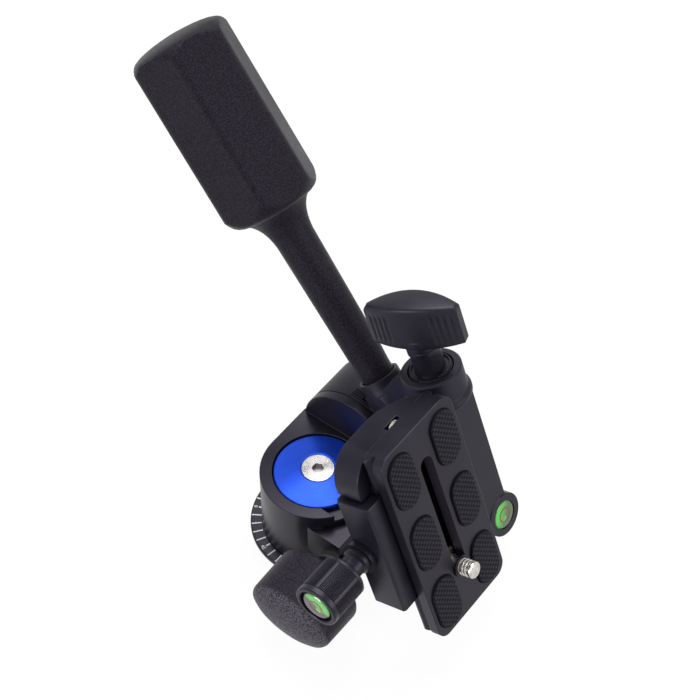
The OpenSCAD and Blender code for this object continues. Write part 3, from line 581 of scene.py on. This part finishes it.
def wingLevels():
    # height, flute depth and inset of each ring, with both rims rounded
    shape = wingShape
    low, top = 0.6 * shape["rimRound"], shape["rimRound"]
    (start, end), fade, depth = shape["fluteRun"], shape["fluteFade"], shape["fluteDepth"]
    quarter = [k * math.pi / 8 for k in range(5)]
    foot = [(low - low * math.cos(a), 0, low - low * math.sin(a)) for a in quarter]
    flutes = [(start, 0, 0), (start + fade, depth, 0), (end - fade, depth, 0), (end, 0, 0)]
    head = [(shape["height"] - top + top * math.sin(a), 0, top - top * math.cos(a)) for a in quarter]
    return foot + flutes + head


def makeWing():
    shape = wingShape
    half = shape["half"]
    bm = bmesh.new()
    ring = bmesh.ops.create_circle(bm, cap_ends=True, segments=360, radius=1.0)["verts"]
    cap = bm.faces[:]
    for v in ring:
        y = limitTo(v.co.y * shape["endFlat"], -1.0, 1.0)
        across = v.co.x / math.sqrt(max(1e-6, 1 - (y / shape["endFlat"]) ** 2))
        v.co = Vector((limitTo(across, -1.0, 1.0) * lensSide(y * half, 0), y * half, 0)) * mm
    wasDepth, wasInset = 0, 0
    for step, (height, depth, inset) in enumerate(wingLevels()):
        if step:
            cap, ring = growCap(bm, cap)
        for v in ring:
            y = v.co.y / mm * half / (half - wasInset)
            share = v.co.x / mm / (lensSide(y, wasDepth) - wasInset)
            x = share * (lensSide(y, depth) - inset)
            v.co = Vector((x, y * (half - inset) / half, shape["base"] + height)) * mm
        wasDepth, wasInset = depth, inset
    for i in range(-shape["cuts"], shape["cuts"] + 1):  # cuts across the bar, so that its crown can bend
        bmesh.ops.bisect_plane(bm, geom=bm.verts[:] + bm.edges[:] + bm.faces[:], dist=0.0001 * mm,
                               plane_co=(0, i * shape["cutStep"] * mm, 0), plane_no=(0, 1, 0))
    for v in bm.verts:
        lift = limitTo((v.co.z / mm - shape["base"] - shape["crownFrom"]) / shape["crownRise"], 0.0, 1.0)
        v.co.z -= shape["crown"] * (v.co.y / mm / half) ** 2 * lift * mm
    turnVerts(bm, bm.verts, "Z", shape["turn"])
    hub = bmesh.new()
    turnProfile(hub, shape["hub"] + shape["hub"][:1], 72)
    addShell(bm, hub)
    return closePiece(bm, "wingKnob", "wing", satinKnob, ("wing_knob",), 32, flipFrame)


makeWing()
print("wing knob made")

# clamp knob: straight knurl in panels between smooth ribs, with a rim round the level
clampKnobShape = {
    "core": [(3.05, 28.4), (5.2, 28.4), (5.2, 30.2), (4.4, 31), (4.4, 35.5), (5.2, 36.1), (7.9, 36.1),
             (8.5, 36.7), (8.5, 37.8), (8.0, 38.1), (8.0, 50.2), (8.5, 50.5), (8.5, 52.3), (8.3, 52.7),
             (7.9, 52.9), (7.1, 52.9), (6.75, 52.6), (6.65, 51.0), (5.62, 51.0), (5.62, 49.9), (0, 49.9)],
    "bore": [(0, 46.4), (3.05, 46.4), (3.05, 28.4)],
    "teeth": 84, "outer": 8.5, "inner": 8.1, "from": 38.0, "to": 50.3,
    "ribs": 6, "ribHalf": 5, "ribStart": 20, "ribGroove": 2,
}


def makeClampKnob():
    shape = clampKnobShape
    bm = bmesh.new()
    turnProfile(bm, shape["core"])
    bore = bmesh.new()
    turnProfile(bore, shape["bore"])
    addShell(bm, bore)
    knurl = bmesh.new()
    ring = bmesh.ops.create_circle(knurl, cap_ends=True, segments=shape["teeth"] * 4,
                                   radius=shape["outer"] * mm)["verts"]
    panel = 360 / shape["ribs"]
    for i, v in enumerate(ring):
        turn = math.degrees(math.atan2(v.co.y, v.co.x)) - shape["ribStart"]
        beyondRib = abs((turn + panel / 2) % panel - panel / 2) - shape["ribHalf"]
        if beyondRib >= 0 and (beyondRib < shape["ribGroove"] or i % 4 in (0, 1)):
            v.co *= shape["inner"] / shape["outer"]
    bmesh.ops.translate(knurl, verts=knurl.verts, vec=(0, 0, shape["from"] * mm))
    topVerts = growCap(knurl, knurl.faces[:])[1]
    bmesh.ops.translate(knurl, verts=topVerts, vec=(0, 0, (shape["to"] - shape["from"]) * mm))
    addShell(bm, knurl)
    return closePiece(bm, "clampKnob", "clamp", satinBlack, ("clamp_knob",), 25, clampPlace)


makeClampKnob()
print("clamp knob made")

# spirit levels: fluid disc with a domed window, ring mark and bubble
tableLevel = {"place": tableLevelPlace, "low": 45.8, "top": 49.9, "ring": 2.6, "bubble": (0.9, 1.1),
              "body": "table", "node": "table_vial"}
knobLevel = {"place": clampPlace, "low": 50.0, "top": 52.8, "ring": 2.4, "bubble": (-1.2, 1.0),
             "body": "clamp", "node": "knob_vial"}
# radius of the window and how far it lies below the top, and the small sizes of ring and bubble
levelShape = {"window": [(5.6, 0.5), (5.2, 0.2), (2.8, 0.05)], "ringWidth": 0.4, "sunk": 0.1,
              "ringOuter": 0.02, "ringInner": 0.04, "bubbleRadius": 1.5, "bubbleFlat": 0.12}


def makeLevel(name, level, fluid):
    low, top, body, place = level["low"], level["top"], level["body"], level["place"]
    bm = bmesh.new()
    turnProfile(bm, [(0, low), (levelShape["window"][0][0], low)]
                + [(r, top - below) for r, below in levelShape["window"]] + [(0, top)], 72)
    closePiece(bm, name + "Fluid", body, fluid, (level["node"],), 30, place)
    bm = bmesh.new()
    inner, outer, sunk = level["ring"], level["ring"] + levelShape["ringWidth"], top - levelShape["sunk"]
    turnProfile(bm, [(inner, sunk), (outer, sunk), (outer, top + levelShape["ringOuter"]),
                     (inner, top + levelShape["ringInner"]), (inner, sunk)], 64)
    closePiece(bm, name + "Ring", body, plain["vialRedRing"], (), 30, place)
    bm = bmesh.new()
    bubble = bmesh.ops.create_uvsphere(bm, u_segments=32, v_segments=16,
                                       radius=levelShape["bubbleRadius"] * mm)["verts"]
    bmesh.ops.scale(bm, verts=bubble, vec=(1, 1, levelShape["bubbleFlat"]))
    bmesh.ops.translate(bm, verts=bubble, vec=[part * mm for part in (*level["bubble"], sunk)])
    closePiece(bm, name + "Bubble", body, plain["vialBubble"], (), 60, place)


makeLevel("tableLevel", tableLevel, makeWindow("tableLevel", tableLevelPlace))
makeLevel("knobLevel", knobLevel, makeWindow("knobLevel", clampPlace))
print("levels made")

# camera screw: flanged head, neck and a real quarter inch thread
cameraScrewShape = {
    "pitch": 1.27, "turns": 2.9, "turnSteps": 32, "start": 59.8,
    "core": [(0, 50.4), (5.8, 50.4), (6, 50.6), (6, 53.5), (5.8, 53.7), (3, 53.7), (3, 59.3), (2.75, 59.4),
             (2.75, 63.3), (3.1, 63.6), (3.17, 63.8), (3.17, 64.4), (3.0, 64.7), (2.6, 64.85), (0, 64.9)],
    "ridge": [(2.6, -0.5), (3.17, -0.16), (3.17, 0.16), (2.6, 0.5)],
}


def makeCameraScrew():
    shape = cameraScrewShape
    bm = bmesh.new()
    turnProfile(bm, shape["core"], 64)
    thread = bmesh.new()
    verts = [thread.verts.new((r * mm, 0, (shape["start"] + z) * mm)) for r, z in shape["ridge"]]
    face = thread.faces.new(verts)
    turnSteps = shape["turnSteps"]
    steps = round(turnSteps * shape["turns"])
    bmesh.ops.spin(thread, geom=[face] + face.edges[:] + verts, cent=(0, 0, 0), axis=(0, 0, 1),
                   dvec=(0, 0, shape["pitch"] * mm / turnSteps), angle=2 * math.pi * steps / turnSteps,
                   steps=steps, use_merge=False, use_duplicate=False)
    addShell(bm, thread)
    return closePiece(bm, "cameraScrew", "camera_stud", plain["bareSteel"],
                      ("camera_screw",), 40, tiltFrame @ shiftTo("cameraScrew"))


makeCameraScrew()
print("camera screw made")

# open spring ring in the mouth of the collar
collarRing = {"radius": 7.3, "wire": 0.36, "height": 38.62, "sweep": 300, "start": 60, "steps": 60}


def makeCollarRing():
    shape = collarRing
    bm = bmesh.new()
    wire = bmesh.ops.create_circle(bm, cap_ends=True, segments=16, radius=shape["wire"] * mm)["verts"]
    turnVerts(bm, wire, "X", 90)
    bmesh.ops.translate(bm, verts=wire, vec=(shape["radius"] * mm, 0, shape["height"] * mm))
    turnVerts(bm, wire, "Z", shape["start"])
    bmesh.ops.spin(bm, geom=bm.verts[:] + bm.edges[:] + bm.faces[:], cent=(0, 0, 0), axis=(0, 0, 1),
                   dvec=(0, 0, 0), angle=math.radians(shape["sweep"]), steps=shape["steps"],
                   use_merge=False, use_duplicate=False)
    return closePiece(bm, "collarRing", "tilt", satinBlack, (), 40, flipFrame)


makeCollarRing()
print("collar ring made")

# pan scale: white ticks let into the rim of the base, a short one and a number at every fifth
dialShape = {"ticks": 40, "numberEvery": 5, "long": (21.85, 25.5), "short": (21.7, 23.5), "width": 0.48,
             "thick": 0.08, "face": 9.3, "first": -65, "digits": 2.0, "digitsAt": 24.75, "digitsRise": 0.03}


def addDigits(bm, text, angle):
    shape = dialShape
    curve = bpy.data.curves.new("dialDigits", "FONT")
    curve.body = text
    curve.size = shape["digits"] * mm
    curve.align_x, curve.align_y = "CENTER", "CENTER"
    curve.extrude = shape["digitsRise"] * mm
    word = bpy.data.objects.new("dialDigits", curve)
    bpy.context.scene.collection.objects.link(word)
    bpy.context.view_layer.update()
    flat = bpy.data.meshes.new_from_object(word.evaluated_get(bpy.context.evaluated_depsgraph_get()))
    spot = (shape["digitsAt"] * mm, 0, (shape["face"] + shape["digitsRise"]) * mm)
    flat.transform(turnAbout("Z", angle) @ Matrix.Translation(spot) @ turnAbout("Z", 90))
    bm.from_mesh(flat)
    bpy.data.objects.remove(word)
    bpy.data.meshes.remove(flat)


def makeDial():
    shape = dialShape
    bm = bmesh.new()
    for i in range(shape["ticks"]):
        reading = 360 * i / shape["ticks"]
        angle = shape["first"] + reading
        numbered = i % shape["numberEvery"] == 0
        inner, outer = shape["short"] if numbered else shape["long"]
        tick = bmesh.ops.create_cube(bm, size=1.0)["verts"]
        bmesh.ops.scale(bm, verts=tick, vec=((outer - inner) * mm, shape["width"] * mm, shape["thick"] * mm))
        bmesh.ops.translate(bm, verts=tick, vec=((inner + outer) / 2 * mm, 0, shape["face"] * mm))
        turnVerts(bm, tick, "Z", angle)
        if numbered:
            addDigits(bm, str(round(reading)), angle)
    return closePiece(bm, "dialMarks", "base", plain["dialWhite"], (), 30)


makeDial()
print("pan scale made")

# stage: white floor that keeps a faint shadow, and white all round
stageLook = {"half": 4.0, "drop": 0.3, "white": (0.9, 0.9, 0.9), "glow": 0.95, "world": 0.35}


def backdropSeen(tree):
    # 1 for the rays that show the white surroundings: camera, glossy and transmission
    path = tree.nodes.new("ShaderNodeLightPath")
    seen = path.outputs["Is Camera Ray"]
    for kind in ("Is Glossy Ray", "Is Transmission Ray"):
        seen = mathNode(tree, "MAXIMUM", seen, path.outputs[kind])
    return seen


def makeFloor():
    bm = bmesh.new()
    bmesh.ops.create_grid(bm, x_segments=1, y_segments=1, size=stageLook["half"])
    bmesh.ops.translate(bm, verts=bm.verts, vec=(0, 0, -stageLook["drop"] * mm))
    mesh = bpy.data.meshes.new("studioFloor")
    bm.to_mesh(mesh)
    bm.free()
    floor = bpy.data.objects.new("studioFloor", mesh)
    bpy.context.scene.collection.objects.link(floor)
    material = bpy.data.materials.new("studioWhite")
    material.use_nodes = True
    tree = material.node_tree
    tree.nodes.clear()
    out = tree.nodes.new("ShaderNodeOutputMaterial")
    diffuse = addNode(tree, "ShaderNodeBsdfDiffuse", Color=(*stageLook["white"], 1))
    glow = tree.nodes.new("ShaderNodeEmission")
    mix = tree.nodes.new("ShaderNodeMixShader")
    tree.links.new(mathNode(tree, "MULTIPLY", backdropSeen(tree), stageLook["glow"]), mix.inputs["Fac"])
    tree.links.new(diffuse.outputs["BSDF"], mix.inputs[1])
    tree.links.new(glow.outputs["Emission"], mix.inputs[2])
    tree.links.new(mix.outputs["Shader"], out.inputs["Surface"])
    mesh.materials.append(material)


def makeWorld():
    world = bpy.data.worlds.new("studioWorld")
    bpy.context.scene.world = world
    world.use_nodes = True
    tree = world.node_tree
    back = tree.nodes["Background"]
    back.inputs["Color"].default_value = (1, 1, 1, 1)
    tree.links.new(spread(tree, backdropSeen(tree), stageLook["world"], 1.0, 0.0, 1.0),
                   back.inputs["Strength"])


# each lamp: place, aim and size in metres, and power in watts
lampPlan = {
    "softboxAbove": ((-0.35, -0.25, 0.95), (0, 0, 0.06), (0.7, 0.7), 12),
    "softboxRight": ((-0.2, 0.95, 0.45), (0, 0, 0.06), (0.6, 0.6), 6),
    "softboxFront": ((0.95, -0.15, 0.3), (0, 0, 0.03), (0.5, 0.4), 7),
}


def addLamp(name, spot, aim, size, power):
    data = bpy.data.lights.new(name, "AREA")
    data.shape = "RECTANGLE"
    data.size, data.size_y = size
    data.energy = power
    lamp = bpy.data.objects.new(name, data)
    bpy.context.scene.collection.objects.link(lamp)
    lamp.location = spot
    lamp.rotation_mode = "QUATERNION"
    lamp.rotation_quaternion = (Vector(aim) - Vector(spot)).to_track_quat("-Z", "Y")


# the camera that fits the photo: place in mm, angles in degrees, clip distances in metres
cameraFit = {"place": (308.268, 248.137, 586.281), "azimuth": 37.1311, "elevation": 50.3514, "lens": 94.43,
             "sensor": 36, "clip": (0.01, 20)}


def makeCamera():
    data = bpy.data.cameras.new("photoCamera")
    camera = bpy.data.objects.new("photoCamera", data)
    bpy.context.scene.collection.objects.link(camera)
    a, e = math.radians(cameraFit["azimuth"]), math.radians(cameraFit["elevation"])
    back = Vector((math.cos(e) * math.cos(a), math.cos(e) * math.sin(a), math.sin(e)))
    right = Vector((-math.sin(a), math.cos(a), 0))
    turn = Matrix((right, back.cross(right), back)).transposed()
    camera.matrix_world = Matrix.Translation(Vector(cameraFit["place"]) * mm) @ turn.to_4x4()
    data.sensor_width = cameraFit["sensor"]
    data.lens = cameraFit["lens"]
    data.clip_start, data.clip_end = cameraFit["clip"]
    bpy.context.scene.camera = camera


makeFloor()
makeWorld()
for lampName, plan in lampPlan.items():
    addLamp(lampName, *plan)
makeCamera()
bpy.context.scene.view_settings.view_transform = "Standard"
print("stage, lamps and camera made")
